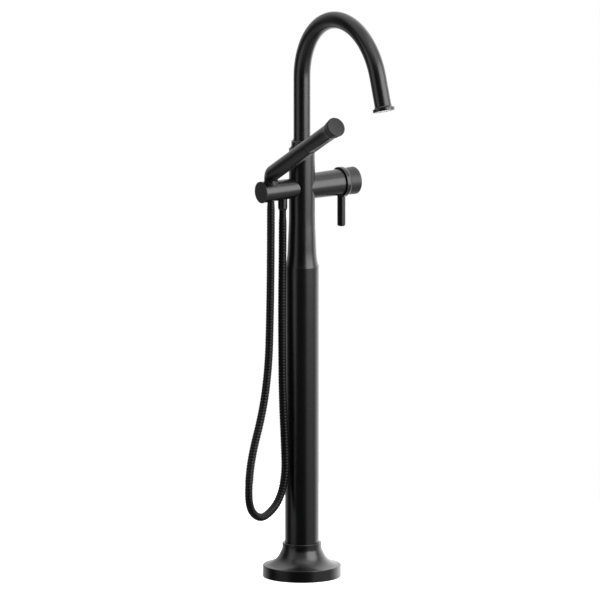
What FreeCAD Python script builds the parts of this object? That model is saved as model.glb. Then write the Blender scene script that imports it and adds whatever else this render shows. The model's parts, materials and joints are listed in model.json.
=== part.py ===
import FreeCAD, Part
import math
import os

from FreeCAD import Matrix, Placement, Rotation, Vector

# Floor standing bath filler. Millimetres, +Z up, origin at the centre of the floor cover's underside.
# The spout points to -Y, the valve and its controls to +X, the hand shower and its hose hang on the -X side.

# Fits
RUN = 0.08              # radial clearance of a shaft that turns or slides in its hole
SEAT = 0.03             # radial clearance of a fixed fit
GLIDE = 0.05            # gap between two flat faces that slide on each other
HOSE_ROOM = 0.6         # radial room round the hose where it passes through the cross bar
END_GAP = 0.5           # room past the end of a pin or pipe in a blind hole
CUT_PAST = 1.0          # how far a cut reaches past the wall that it opens
SMALL_BEVEL = 0.4

# Floor plate and column
PLATE_R = 58.0
PLATE_THICK = 8.0
BOLT_CIRCLE_R = 47.0
BOLT_HOLE_R = 4.5
BOLTS = 4
SUPPLY_HOLE_R = 26.0
SPIGOT_HEIGHT = 40.0
COLUMN_R = 31.75
COLUMN_WALL = 2.0
COLUMN_LENGTH = 580.8
CLAMP_SCREWS = 3
CLAMP_SCREW_R = 3.0
CLAMP_HEAD_R = 5.0
CLAMP_HEAD_THICK = 5.0
CLAMP_RISE = 22.0       # above the plate's top
CLAMP_NOSE_BACK = 0.5   # screw's nose from the spigot's bore

# Floor cover
COVER_R = 73.0
COVER_RIM = 20.3        # height of the upright rim
COVER_EDGE = 1.5        # rounding between the rim and the shoulder
COVER_WALL = 2.5
COVER_COLLAR_R = 36.8
COVER_COLLAR_START = 57.5
COVER_HEIGHT = 64.0
COVER_BORE_GAP = 0.3
COVER_SHOULDER_R = 57.5
COVER_SHOULDER_Z = 26.0
COVER_FLARE_R = 44.8
COVER_FLARE_Z = 36.8
COVER_THROAT_R = 38.8
COVER_THROAT_Z = 48.2
COVER_RING_DROP = 5.5   # seal ring below the collar's top
COVER_TOP_BEVEL = 0.8

# Seal rings: section radius and squeeze left as a gap
SEAL_SECTION_R = 1.15
SEAL_GAP = 0.02

# Supply pipes inside the column
PIPE_OFFSET = 14.3
PIPE_R = 6.0
PIPE_WALL = 1.0
PIPE_COLLAR_R = 9.5
PIPE_COLLAR_THICK = 2.8
PIPE_SOCKET_DEPTH = 11.0
NUT_FLATS = 24.0
NUT_THREAD_R = 10.0
NUT_THREAD_LENGTH = 12.0
NUT_LIP = 3.0
NUT_RISE = 4.0          # above the floor plate's spigot
WASHER_THICK = 1.6
SPACERS = 3
SPACER_THICK = 8.0
SPACER_WINDOW_R = 8.0
SPACER_RIM = 3.0
SPACER_PLAY = 0.15

# Body: neck, valve housing and the joint to the column
BODY_SPIGOT_LENGTH = 28.0
BODY_SPIGOT_BORE = 26.0
BODY_SEAL_RISE = 5.0    # seal ring above the spigot's foot
NECK_R = 24.5
NECK_FLARE_HEIGHT = 102.2
NECK_BORE = 21.5
NECK_BORE_STEP = 3.0    # wide part of the pipe space above the joint
NECK_BORE_TAPER = 15.0
NECK_BORE_TOP = 91.2    # above the joint with the column
JOINT_BEVEL = 0.4
ARM_RISE = 149.7        # from the joint to the cross axis
NECK_TOP_RISE = 73.5    # from the cross axis to the foot of the neck's shoulder
SHOULDER_HEIGHT = 5.0
SHOULDER_R = 20.6
HOUSING_END = 84.0
HOUSING_R_START = 23.5
HOUSING_R_END = 24.75
CHAMBER_R = 18.0
CHAMBER_FLOOR = 20.0
PORT_R = 3.5
INLET_PORT_OFFSET = 11.0
OUTLET_PORT_OFFSET = 9.0
FEED_R = 4.5
RISER_R = 7.0
SET_SCREW_R = 3.0
SET_SCREW_DROP = 14.0   # column set screw below the joint
SCREW_BACK = 0.4        # how far a headless screw stays inside its hole at either end

# Cartridge, from the chamber floor outwards
CUP_BASE = 6.0
CUP_LENGTH = 40.0
CUP_BORE = 14.0
CUP_SEAL_BACK = 10.0    # seal ring from the cup's outer end
DISC_THICK = 4.0
DISC_PORT_R = 2.7
DISC_TURN_DEG = 45.0    # windows of the turning disc from the ports, when closed
DRUM_R = 13.4
DRUM_LENGTH = 23.4
SPOOL_BORE = 8.0
SLEEVE_R = 8.5
SLEEVE_STEP = 3.0       # closed end of the drum round the spindle
SPINDLE_R = 5.0
SPINDLE_TIP_R = 3.0
SPINDLE_TIP_LENGTH = 16.0
SPINDLE_ROOT = 2.0      # thick part of the spindle inside the drum's closed end
SPOOL_LENGTH = 8.0
HEAD_FLANGE = 6.0
HEAD_PLUG = 1.9
NUT_RING_LENGTH = 10.0
NUT_RING_BORE = 9.4

# Lever collar, its pin and the temperature knob
GLIDE_RING_THICK = 0.35
GLIDE_RING_R = 23.0
GLIDE_RING_BORE = 19.0
RING_R = 28.5
RING_WIDTH = 11.2
RING_BEVEL = 3.6
PIN_R = 7.75
PIN_REACH = 83.5        # from the cross axis to the pin's tip
PIN_TIP_ROUND = 3.0
PIN_STUD_R = 3.0
PIN_STUD_LENGTH = 15.0
PIN_SHIFT = 4.8         # pin's axis from the collar's inner face
SLEEVE_SHORT = 1.1      # sleeve's end inside the collar's outer face
KNOB_GAP = 0.4
KNOB_LENGTH = 22.9
KNOB_R_START = 25.0
KNOB_R_END = 25.8
KNOB_EDGE = 1.6
KNOB_WALL = 4.0
KNOB_FACE = 8.0
KNOB_HUB_R = 10.0
KNOB_HUB_SET_BACK = 1.0
SMALL_SCREW_R = 2.0
LEVER_SCREW_LENGTH = 10.0

# Spout
BUSH_R = 13.0
BUSH_DEPTH = 45.0
BUSH_ROOM = 3.0         # space under the bush
BUSH_BORE = 9.0
BUSH_PLUG_LENGTH = 20.0
SPOUT_R = 15.9
SPOUT_WALL = 1.5
SPOUT_RISE = 129.5
SPOUT_BEND_R = 128.0
SPOUT_BEND_DEG = 162.0
SPOUT_TAIL = 64.2
SLIP_RING_THICK = 1.0
SLIP_RING_BACK = 0.8    # its edge from the neck's edge
FERRULE_R = 20.0
FERRULE_BAND = 8.5
FERRULE_COVE = 4.5
STOP_SCREW_R = 2.5
STOP_DEPTH = 2.0
STOP_DROP = 20.0        # stop screw below the neck's top
SPOUT_SWING_DEG = 60.0
STOP_SPARE_DEG = 1.0    # slot past the end of the swing
BUSH_SEAL_DROPS = (30.0, 38.0)
OUTLET_R = 20.75
OUTLET_LIP = 5.5
OUTLET_FLARE = 4.0
OUTLET_BORE = 18.2
OUTLET_DEPTH = 4.0
OUTLET_BEVEL = 0.6
AERATOR_SET_BACK = 0.5
AERATOR_STEM_R = 13.8
AERATOR_STEM = 9.0
AERATOR_WALL = 1.2
AERATOR_FACE = 2.0
AERATOR_HOLE_R = 1.15
AERATOR_RING_R = (4.2, 8.2, 12.2)
AERATOR_RING_HOLES = (6, 12, 18)
AERATOR_SEAL_THICK = 1.0
SCREEN_THICK = 0.8
SCREEN_HOLE_R = 0.9
SCREEN_RING_R = (3.2, 6.4, 9.6)
SCREEN_RING_HOLES = (6, 12, 18)

# Cross bar with the hand shower's cradle
BAR_R_START = 18.7
BAR_R_END = 20.25
BAR_END = 93.3
BAR_SPIGOT_R = 12.0
BAR_SPIGOT_DEPTH = 12.5
BAR_RECESS_R = 10.0     # hollow in the spigot's end that joins the off-centre port to the waterway
BAR_RECESS = 4.0
BAR_WATERWAY_R = 5.0
BAR_WATERWAY_END = 50.0
CAP_THICK = 2.0
CAP_PLUG_R = 12.0
CAP_PLUG_LENGTH = 4.0
CRADLE_X = -70.6
TAIL_R = 12.85
LINER_WALL = 1.1
LINER_FLOOR = 2.0
CRADLE_DEPTH = 12.5     # cradle's floor below the cross axis
LINER_TRIM = 0.25
OUTLET_X = -44.0
NIPPLE_R = 6.0
NIPPLE_BORE = 3.5
NIPPLE_TOP = 5.5        # nipple's top below the cross axis
HOSE_NUT_R = 8.75
HOSE_NUT_END_R = 7.3
HOSE_NUT_BAND = 34.5    # lower end of the nut's straight band, below the cross axis
HOSE_NUT_TAPER = 4.0
VALVE_INSERT_LENGTH = 10.0
VALVE_INSERT_BORE = 2.5
VALVE_INSERT_START = 26.0

# Hand shower
ELBOW_RISE = 31.5       # elbow's corner above the cross axis
ELBOW_BEND_R = 19.0
ELBOW_SECTIONS = 6
WAND_LEAN_DEG = 30.3
WAND_R_START = 14.8
WAND_R_END = 15.3
WAND_LENGTH = 249.2
WAND_WALL = 2.3
WAND_FLARE = 21.0
HEAD_R_FOOT = 16.9
HEAD_RING_R = 17.35
HEAD_RING_WIDTH = 1.6
HEAD_GROOVE_R = 16.5
HEAD_GROOVE = 0.9
CAP_R_START = 17.4
CAP_R_END = 18.8
CAP_LENGTH = 12.5
CAP_EDGE = 2.0
CAP_STEM = 7.0
CAP_WALL = 2.0
CAP_FACE = 3.0
WATERWAY_R = 7.0
HOSE_SEAT_R = 9.5
HOSE_SEAT_LENGTH = 16.0
HOSE_SEAT_RISE = 1.0
HOSE_WASHER_THICK = 2.5
PANEL_LENGTH = 79.0
PANEL_TO_END = 21.2
PANEL_HALF_WIDTH = 10.2
PANEL_DEPTH_START = 12.9
PANEL_DEPTH_END = 14.6
PANEL_BACK = 9.5
NOTCH_WIDTH = 1.6
NOTCH_DEPTH = 1.1
NOTCH_HALF_DEG = 65.0
NOZZLE_R = 1.1
NOZZLE_TIP_R = 0.9
NOZZLE_PROUD = 0.7
NOZZLE_ROWS = 3
NOZZLE_COLUMNS = 11
NOZZLE_PITCH_X = 4.4
NOZZLE_PITCH_S = 6.2
NOZZLE_FIRST = 8.0
NOZZLE_PAD = 1.5
NOZZLE_PAD_HALF = 7.0
NOZZLE_PAD_MARGIN = 1.5
NOZZLE_ROOT = 0.5       # how far a nozzle starts inside the mat
INNER_TUBE_R = 6.0
INNER_TUBE_BORE = 4.8
INNER_TUBE_START = 24.0
INNER_TUBE_GAP = 3.0      # inner tube's end to the spray panel
INNER_TUBE_FLANGE = 3.0

# Hose: route between its two ends, from the hand shower down, round the loop and up to the nut
HOSE_R = 7.0
HOSE_ROOT_R = 6.3
HOSE_BORE = 5.0
HOSE_RIBS = 200
HOSE_RIB_SHARES = (0.20, 0.60, 0.80)    # start of the crest, its end and the foot, as shares of a rib
HOSE_BEND_SHARE = 0.45                  # bend's tangent as a share of the shorter run beside it
HOSE_POINTS = (
    (-70.6, 0.0, 622.0),
    (-73.5, -1.0, 491.0),
    (-80.0, -6.0, 407.0),
    (-98.0, -14.0, 326.0),
    (-134.0, -27.0, 243.0),
    (-152.0, -43.0, 181.0),
    (-142.0, -38.0, 148.0),
    (-116.0, -29.0, 130.0),
    (-87.0, -14.0, 129.0),
    (-57.0, -8.0, 149.0),
    (-43.0, -8.5, 196.0),
    (-44.5, -8.0, 254.0),
    (-47.5, -5.0, 343.0),
    (-47.8, -3.5, 440.0),
    (-46.6, -1.4, 535.0),
    (-44.0, 0.0, 622.0),
)

# Places that follow from the sizes
UP = Vector(0, 0, 1)
DOWN = Vector(0, 0, -1)
RIGHT = Vector(1, 0, 0)
LEFT = Vector(-1, 0, 0)
BACK = Vector(0, 1, 0)
FORWARD = Vector(0, -1, 0)
COLUMN_BORE = COLUMN_R - COLUMN_WALL
JOINT_Z = PLATE_THICK + COLUMN_LENGTH
AXIS_Z = JOINT_Z + ARM_RISE
NECK_TOP = AXIS_Z + NECK_TOP_RISE + SHOULDER_HEIGHT
SPOUT_FOOT = NECK_TOP + SLIP_RING_THICK
BODY_SEAL_Z = JOINT_Z - BODY_SPIGOT_LENGTH + BODY_SEAL_RISE
PIPE_TOP = JOINT_Z + NECK_BORE_TOP + PIPE_SOCKET_DEPTH - END_GAP
NUT_Z = PLATE_THICK + SPIGOT_HEIGHT + NUT_RISE
CLAMP_Z = PLATE_THICK + CLAMP_RISE
CUP_START = CHAMBER_FLOOR + GLIDE
CUP_END = CUP_START + CUP_LENGTH
CUP_SEAL_X = CUP_END - CUP_SEAL_BACK
DISC_START = CUP_START + CUP_BASE
ROTOR_START = DISC_START + DISC_THICK + GLIDE
DRUM_START = ROTOR_START + DISC_THICK + GLIDE
DRUM_END = DRUM_START + DRUM_LENGTH
HEAD_START = CUP_END - HEAD_PLUG
NUT_RING_START = CUP_END + HEAD_FLANGE
RING_START = HOUSING_END + GLIDE_RING_THICK + GLIDE
RING_END = RING_START + RING_WIDTH
SLEEVE_END = RING_END - SLEEVE_SHORT
KNOB_START = RING_END + KNOB_GAP
KNOB_END = KNOB_START + KNOB_LENGTH
SPINDLE_END = KNOB_END - KNOB_FACE - END_GAP
SPINDLE_START = DRUM_END - SPINDLE_ROOT
PIN_X = RING_START + PIN_SHIFT
CRADLE_Z = AXIS_Z - CRADLE_DEPTH
LINER_R = TAIL_R + RUN + LINER_WALL
TAIL_Z = CRADLE_Z + LINER_FLOOR + GLIDE
ELBOW_Z = AXIS_Z + ELBOW_RISE
HOSE_TOP = TAIL_Z + HOSE_SEAT_RISE
HOSE_NUT_Z = AXIS_Z - HOSE_NUT_BAND - HOSE_NUT_TAPER
PANEL_START = WAND_LENGTH - PANEL_TO_END - PANEL_LENGTH
INNER_TUBE_END = PANEL_START - INNER_TUBE_GAP
HEAD_RING_START = WAND_LENGTH - CAP_LENGTH - HEAD_GROOVE - HEAD_RING_WIDTH
WAND_BORE = WAND_R_START - WAND_WALL
ELBOW_TURN = math.radians(90.0 - WAND_LEAN_DEG)
ELBOW_TANGENT = ELBOW_BEND_R * math.tan(ELBOW_TURN / 2)
CROSS_AXIS = Placement(Vector(0, 0, AXIS_Z), Rotation(UP, RIGHT))
WAND = Placement(Vector(CRADLE_X, 0, ELBOW_Z), Rotation(RIGHT, 90.0 - WAND_LEAN_DEG))


def cylinder(radius, length, start, direction=UP):
    return Part.makeCylinder(radius, length, start, direction)


def tube(outer, inner, length, start, direction=UP):
    return cylinder(outer, length, start, direction).cut(cylinder(inner, length, start, direction))


def at_axis(x, y=0.0, rise=0.0):
    """A point given by its place beside the cross axis."""
    return Vector(x, y, AXIS_Z + rise)


def spun(outline):
    """Solid of revolution about Z. Each entry is (radius, height), or a pair of such points for an arc."""
    edges = []
    last = first = Vector(outline[0][0], 0, outline[0][1])
    for entry in outline[1:]:
        if isinstance(entry[0], tuple):
            middle = Vector(entry[0][0], 0, entry[0][1])
            end = Vector(entry[1][0], 0, entry[1][1])
            edges.append(Part.Arc(last, middle, end).toShape())
        else:
            end = Vector(entry[0], 0, entry[1])
            edges.append(Part.LineSegment(last, end).toShape())
        last = end
    edges.append(Part.LineSegment(last, first).toShape())
    return Part.Face(Part.Wire(edges)).revolve(Vector(0, 0, 0), UP, 360)


def spun_along_x(outline):
    """Solid of revolution about the cross axis. Heights in the outline are read as X."""
    shape = spun(outline)
    shape.Placement = CROSS_AXIS
    return shape


def arc_point(centre, radius, degrees):
    angle = math.radians(degrees)
    return (centre[0] + radius * math.cos(angle), centre[1] + radius * math.sin(angle))


def curve_between(points, first_slope, last_slope):
    """Smooth edge through points in the XZ half plane, with its slope set at both ends."""
    curve = Part.BSplineCurve()
    curve.interpolate(
        Points=[Vector(r, 0, z) for r, z in points],
        InitialTangent=Vector(first_slope[0], 0, first_slope[1]),
        FinalTangent=Vector(last_slope[0], 0, last_slope[1]),
    )
    return curve.toShape()


def spun_edges(edges):
    return Part.Face(Part.Wire(edges)).revolve(Vector(0, 0, 0), UP, 360)


def line(a, b):
    return Part.LineSegment(Vector(a[0], 0, a[1]), Vector(b[0], 0, b[1])).toShape()


def seal_ring(inner_r):
    """Round seal ring about Z whose inside just clears a shaft of this radius."""
    return Part.makeTorus(inner_r + SEAL_GAP + SEAL_SECTION_R, SEAL_SECTION_R)


def seal_groove(wall_r, height, inward):
    """Ring to cut from a wall so that a seal ring fits it: into a shaft, or outwards into a bore."""
    half = SEAL_SECTION_R + SEAL_GAP
    if inward:
        outer = wall_r + CUT_PAST
        inner = wall_r - 2 * half
    else:
        outer = wall_r + 2 * half
        inner = wall_r - CUT_PAST
    return tube(outer, inner, 2 * half, Vector(0, 0, height - half))


def set_screw(radius, length, start, direction):
    """Headless screw from its nose at start to its socket at the far end."""
    screw = cylinder(radius, length, start, direction)
    key_depth = min(0.45 * length, 1.6 * radius)
    key = prism(0.55 * radius, key_depth)
    key.Placement = Placement(start + direction * (length - key_depth), Rotation(UP, direction))
    return screw.cut(key)


def prism(half_flats, length):
    """Hexagonal bar along Z, with two of its flats facing Y."""
    corner = half_flats / math.cos(math.pi / 6)
    points = [corner * around(1.0, math.pi / 3 * i) for i in range(7)]
    return Part.Face(Part.makePolygon(points)).extrude(Vector(0, 0, length))


def round_angles(count, first_deg=0.0):
    return [math.radians(first_deg + 360.0 / count * i) for i in range(count)]


def around(radius, angle):
    return Vector(radius * math.cos(angle), radius * math.sin(angle), 0)


# Floor plate, column and cover

def floor_plate():
    plate = cylinder(PLATE_R, PLATE_THICK, Vector(0, 0, 0))
    spigot = cylinder(COLUMN_BORE - SEAT, SPIGOT_HEIGHT, Vector(0, 0, PLATE_THICK))
    plate = plate.fuse(spigot)
    plate = plate.cut(cylinder(SUPPLY_HOLE_R, PLATE_THICK + SPIGOT_HEIGHT, Vector(0, 0, 0)))
    for angle in round_angles(BOLTS, 45.0):
        plate = plate.cut(cylinder(BOLT_HOLE_R, PLATE_THICK, around(BOLT_CIRCLE_R, angle)))
    for angle in round_angles(CLAMP_SCREWS, 90.0):
        plate = plate.cut(cylinder(CLAMP_SCREW_R + SEAT, COLUMN_R, Vector(0, 0, CLAMP_Z), around(1.0, angle)))
    return plate


def column_tube():
    column = tube(COLUMN_R, COLUMN_BORE, COLUMN_LENGTH, Vector(0, 0, PLATE_THICK))
    for angle in round_angles(CLAMP_SCREWS, 90.0):
        out = around(1.0, angle)
        column = column.cut(cylinder(CLAMP_SCREW_R + SEAT, COLUMN_R + 1, Vector(0, 0, CLAMP_Z), out))
    hole = cylinder(SET_SCREW_R + SEAT, COLUMN_R + 1, Vector(0, 0, JOINT_Z - SET_SCREW_DROP), BACK)
    return column.cut(hole)


def column_clamp_screws():
    screws = []
    for angle in round_angles(CLAMP_SCREWS, 90.0):
        out = around(1.0, angle)
        nose = around(SUPPLY_HOLE_R + CLAMP_NOSE_BACK, angle) + Vector(0, 0, CLAMP_Z)
        seat = around(math.sqrt(COLUMN_R ** 2 - CLAMP_HEAD_R ** 2), angle) + Vector(0, 0, CLAMP_Z)
        shank = cylinder(CLAMP_SCREW_R, COLUMN_R - SUPPLY_HOLE_R, nose, out)
        head = cylinder(CLAMP_HEAD_R, CLAMP_HEAD_THICK, seat, out)
        # the head's underside is hollowed to sit on the round column
        head = head.cut(cylinder(COLUMN_R + SEAT, 4 * CLAMP_HEAD_R, Vector(0, 0, CLAMP_Z - 2 * CLAMP_HEAD_R)))
        key = prism(0.5 * CLAMP_HEAD_R, 0.5 * CLAMP_HEAD_THICK)
        key.Placement = Placement(seat + out * (0.5 * CLAMP_HEAD_THICK), Rotation(UP, out))
        screws.append(shank.fuse(head).cut(key))
    return Part.makeCompound(screws)


def cover_flare(shift):
    """Points of the cover's flare, moved inwards by the given wall."""
    slopes = ((0.12, 1.0), (0.38, 0.92), (0.82, 0.57), (0.96, 0.28), (1.0, 0.1))
    points = (
        (COVER_R - COVER_EDGE, COVER_RIM + COVER_EDGE),
        (COVER_SHOULDER_R, COVER_SHOULDER_Z),
        (COVER_FLARE_R, COVER_FLARE_Z),
        (COVER_THROAT_R, COVER_THROAT_Z),
        (COVER_COLLAR_R, COVER_COLLAR_START),
    )
    return [(r - shift * n[0], z - shift * n[1]) for (r, z), n in zip(points, slopes)]


def floor_cover():
    bore = COLUMN_R + COVER_BORE_GAP
    outer = cover_flare(0.0)
    inner = cover_flare(COVER_WALL)
    inner[0] = (COVER_R - COVER_WALL, COVER_RIM + COVER_EDGE - COVER_WALL)
    inner[-1] = (bore, inner[-1][1])
    edge_centre = (COVER_R - COVER_EDGE, COVER_RIM)
    middle = arc_point(edge_centre, COVER_EDGE, 45)
    bevel = COVER_TOP_BEVEL
    edges = [
        line((inner[0][0], 0), (COVER_R, 0)),
        line((COVER_R, 0), (COVER_R, COVER_RIM)),
        Part.Arc(Vector(COVER_R, 0, COVER_RIM), Vector(middle[0], 0, middle[1]),
                 Vector(outer[0][0], 0, outer[0][1])).toShape(),
        curve_between(outer, (-1.0, 0.12), (0.0, 1.0)),
        line(outer[-1], (COVER_COLLAR_R, COVER_HEIGHT - bevel)),
        line((COVER_COLLAR_R, COVER_HEIGHT - bevel), (COVER_COLLAR_R - bevel, COVER_HEIGHT)),
        line((COVER_COLLAR_R - bevel, COVER_HEIGHT), (bore, COVER_HEIGHT)),
        line((bore, COVER_HEIGHT), inner[-1]),
        curve_between(inner[::-1], (0.0, -1.0), (1.0, -0.12)),
        line(inner[0], (inner[0][0], 0)),
    ]
    return spun_edges(edges).cut(seal_groove(bore, COVER_HEIGHT - COVER_RING_DROP, False))


def cover_seal_ring():
    ring = seal_ring(COLUMN_R)
    ring.translate(Vector(0, 0, COVER_HEIGHT - COVER_RING_DROP))
    return ring


# Supply pipes

def supply_pipe(side):
    foot = NUT_Z + NUT_THREAD_LENGTH + WASHER_THICK
    centre = Vector(0, side * PIPE_OFFSET, foot)
    pipe = cylinder(PIPE_R, PIPE_TOP - foot, centre).fuse(cylinder(PIPE_COLLAR_R, PIPE_COLLAR_THICK, centre))
    return pipe.cut(cylinder(PIPE_R - PIPE_WALL, PIPE_TOP - foot, centre))


def inlet_nut(side):
    start = Vector(0, side * PIPE_OFFSET, NUT_Z)
    inside = WASHER_THICK + PIPE_COLLAR_THICK
    nut = prism(NUT_FLATS / 2, NUT_THREAD_LENGTH + inside + NUT_LIP)
    nut.translate(start)
    nut = nut.cut(cylinder(NUT_THREAD_R, NUT_THREAD_LENGTH, start))
    nut = nut.cut(cylinder(PIPE_COLLAR_R + SEAT, NUT_THREAD_LENGTH + inside, start))
    return nut.cut(cylinder(PIPE_R + SEAT, NUT_THREAD_LENGTH + inside + NUT_LIP, start))


def inlet_washers():
    rings = []
    for side in (-1, 1):
        start = Vector(0, side * PIPE_OFFSET, NUT_Z + NUT_THREAD_LENGTH)
        rings.append(tube(PIPE_COLLAR_R, PIPE_R - PIPE_WALL, WASHER_THICK, start))
    return Part.makeCompound(rings)


def pipe_spacers():
    discs = []
    for i in range(SPACERS):
        z = PLATE_THICK + COLUMN_LENGTH * (i + 1) / (SPACERS + 1)
        disc = cylinder(COLUMN_BORE - SPACER_PLAY, SPACER_THICK, Vector(0, 0, z))
        for side in (-1, 1):
            disc = disc.cut(cylinder(PIPE_R + SEAT, SPACER_THICK, Vector(0, side * PIPE_OFFSET, z)))
            window = Vector(side * (COLUMN_BORE - SPACER_WINDOW_R - SPACER_RIM), 0, z)
            disc = disc.cut(cylinder(SPACER_WINDOW_R, SPACER_THICK, window))
        discs.append(disc)
    return Part.makeCompound(discs)


# Body casting

def neck_outer():
    flare_top = JOINT_Z + NECK_FLARE_HEIGHT
    drop = COLUMN_R - NECK_R
    points = [
        (COLUMN_R - JOINT_BEVEL, JOINT_Z),
        (NECK_R + 0.58 * drop, JOINT_Z + 0.11 * NECK_FLARE_HEIGHT),
        (NECK_R + 0.28 * drop, JOINT_Z + 0.40 * NECK_FLARE_HEIGHT),
        (NECK_R + 0.06 * drop, JOINT_Z + 0.76 * NECK_FLARE_HEIGHT),
        (NECK_R, flare_top),
    ]
    shoulder_foot = NECK_TOP - SHOULDER_HEIGHT
    cove = (NECK_R - 0.62 * (NECK_R - SHOULDER_R), NECK_TOP - 0.62 * SHOULDER_HEIGHT)
    edges = [
        line((0, JOINT_Z), points[0]),
        curve_between(points, (-0.35, 1.0), (0.0, 1.0)),
        line(points[-1], (NECK_R, shoulder_foot)),
        Part.Arc(Vector(NECK_R, 0, shoulder_foot), Vector(cove[0], 0, cove[1]),
                 Vector(SHOULDER_R, 0, NECK_TOP)).toShape(),
        line((SHOULDER_R, NECK_TOP), (0, NECK_TOP)),
        line((0, NECK_TOP), (0, JOINT_Z)),
    ]
    return spun_edges(edges)


def body_hollows():
    """Everything that is cut from the casting: pipe space, waterways, valve chamber and sockets."""
    foot = JOINT_Z - BODY_SPIGOT_LENGTH
    step = JOINT_Z + NECK_BORE_STEP
    shelf = JOINT_Z + NECK_BORE_TOP
    pipe_space = spun([
        (0, foot), (BODY_SPIGOT_BORE, foot), (BODY_SPIGOT_BORE, step),
        (NECK_BORE, step + NECK_BORE_TAPER), (NECK_BORE, shelf), (0, shelf),
    ])
    cuts = [pipe_space]
    for side in (-1, 1):
        pipe = Vector(0, side * PIPE_OFFSET, shelf)
        cuts.append(cylinder(PIPE_R + SEAT, PIPE_SOCKET_DEPTH, pipe))
        cuts.append(cylinder(FEED_R, AXIS_Z + PORT_R - shelf, pipe))
        cuts.append(cylinder(PORT_R, CHAMBER_FLOOR, at_axis(0, side * INLET_PORT_OFFSET), RIGHT))
    cuts.append(cylinder(CHAMBER_R, HOUSING_END, at_axis(CHAMBER_FLOOR), RIGHT))
    cuts.append(cylinder(PORT_R, CHAMBER_FLOOR, at_axis(0, 0, OUTLET_PORT_OFFSET), RIGHT))
    cuts.append(cylinder(RISER_R, NECK_TOP - AXIS_Z, at_axis(0, 0, OUTLET_PORT_OFFSET - PORT_R)))
    cuts.append(cylinder(BUSH_R, BUSH_DEPTH + BUSH_ROOM, Vector(0, 0, NECK_TOP), DOWN))
    handset_port = at_axis(CHAMBER_FLOOR, 0, -OUTLET_PORT_OFFSET)
    cuts.append(cylinder(PORT_R, CHAMBER_FLOOR + NECK_R - BAR_SPIGOT_DEPTH, handset_port, LEFT))
    cuts.append(cylinder(BAR_SPIGOT_R + SEAT, NECK_R, at_axis(BAR_SPIGOT_DEPTH - NECK_R), LEFT))
    cuts.append(cylinder(STOP_SCREW_R + SEAT, NECK_R, Vector(0, 0, NECK_TOP - STOP_DROP), BACK))
    cuts.append(cylinder(SET_SCREW_R + SEAT, COLUMN_R, Vector(0, 0, JOINT_Z - SET_SCREW_DROP), BACK))
    return cuts


def mixer_body():
    body = neck_outer()
    housing = Part.makeCone(HOUSING_R_START, HOUSING_R_END, HOUSING_END, at_axis(0), RIGHT)
    body = body.fuse(housing)
    spigot = cylinder(COLUMN_BORE - SEAT, BODY_SPIGOT_LENGTH, Vector(0, 0, JOINT_Z), DOWN)
    body = body.fuse(spigot)
    for hollow in body_hollows():
        body = body.cut(hollow)
    return body.cut(seal_groove(COLUMN_BORE - SEAT, BODY_SEAL_Z, True))


def body_seal_ring():
    ring = seal_ring(COLUMN_BORE - SEAT - 2 * (SEAL_SECTION_R + SEAL_GAP))
    ring.translate(Vector(0, 0, BODY_SEAL_Z))
    return ring


def column_set_screw():
    start = Vector(0, BODY_SPIGOT_BORE + SCREW_BACK, JOINT_Z - SET_SCREW_DROP)
    return set_screw(SET_SCREW_R, COLUMN_R - BODY_SPIGOT_BORE - 2 * SCREW_BACK, start, BACK)


# Cartridge

def cartridge_body():
    cup = tube(CHAMBER_R - SEAT, CUP_BORE, CUP_LENGTH, at_axis(CUP_START), RIGHT)
    cup = cup.fuse(cylinder(CHAMBER_R - SEAT, CUP_BASE, at_axis(CUP_START), RIGHT))
    for y, rise in port_places():
        cup = cup.cut(cylinder(PORT_R, CUP_BASE, at_axis(CUP_START, y, rise), RIGHT))
    groove = seal_groove(CHAMBER_R - SEAT, CUP_SEAL_X, True)
    groove.Placement = CROSS_AXIS.multiply(groove.Placement)
    return cup.cut(groove)


def port_places():
    """Ports of the chamber floor as (y, rise): hot, cold, spout and hand shower."""
    return (
        (INLET_PORT_OFFSET, 0.0),
        (-INLET_PORT_OFFSET, 0.0),
        (0.0, OUTLET_PORT_OFFSET),
        (0.0, -OUTLET_PORT_OFFSET),
    )


def cartridge_seal_ring():
    ring = seal_ring(CHAMBER_R - SEAT - 2 * (SEAL_SECTION_R + SEAL_GAP))
    ring.translate(Vector(0, 0, CUP_SEAL_X))
    ring.Placement = CROSS_AXIS.multiply(ring.Placement)
    return ring


def fixed_disc():
    disc = cylinder(CUP_BORE - SEAT, DISC_THICK, at_axis(DISC_START), RIGHT)
    for y, rise in port_places():
        disc = disc.cut(cylinder(DISC_PORT_R, DISC_THICK, at_axis(DISC_START, y, rise), RIGHT))
    return disc


def diverter_disc():
    """Turning ceramic disc: two inlet windows, closed towards both outlets at rest."""
    disc = cylinder(CUP_BORE - RUN, DISC_THICK, at_axis(ROTOR_START), RIGHT)
    for degrees in (DISC_TURN_DEG, DISC_TURN_DEG + 180.0):
        angle = math.radians(degrees)
        port = around(OUTLET_PORT_OFFSET, angle)
        place = at_axis(ROTOR_START, port.x, port.y)
        disc = disc.cut(cylinder(DISC_PORT_R, DISC_THICK, place, RIGHT))
    return disc


def flow_sleeve():
    """Drum that turns the disc, with the hollow stem that carries the lever collar."""
    return spun_along_x([
        (SPOOL_BORE, DRUM_START), (DRUM_R, DRUM_START), (DRUM_R, DRUM_END), (SLEEVE_R, DRUM_END),
        (SLEEVE_R, SLEEVE_END), (SPINDLE_R + RUN, SLEEVE_END), (SPINDLE_R + RUN, DRUM_END - SLEEVE_STEP),
        (SPOOL_BORE, DRUM_END - SLEEVE_STEP),
    ])


def mixing_spool():
    middle = (DRUM_START + SPINDLE_START) / 2
    start = at_axis(middle - SPOOL_LENGTH / 2)
    return tube(SPOOL_BORE - RUN, SPINDLE_TIP_R + RUN, SPOOL_LENGTH, start, RIGHT)


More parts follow.
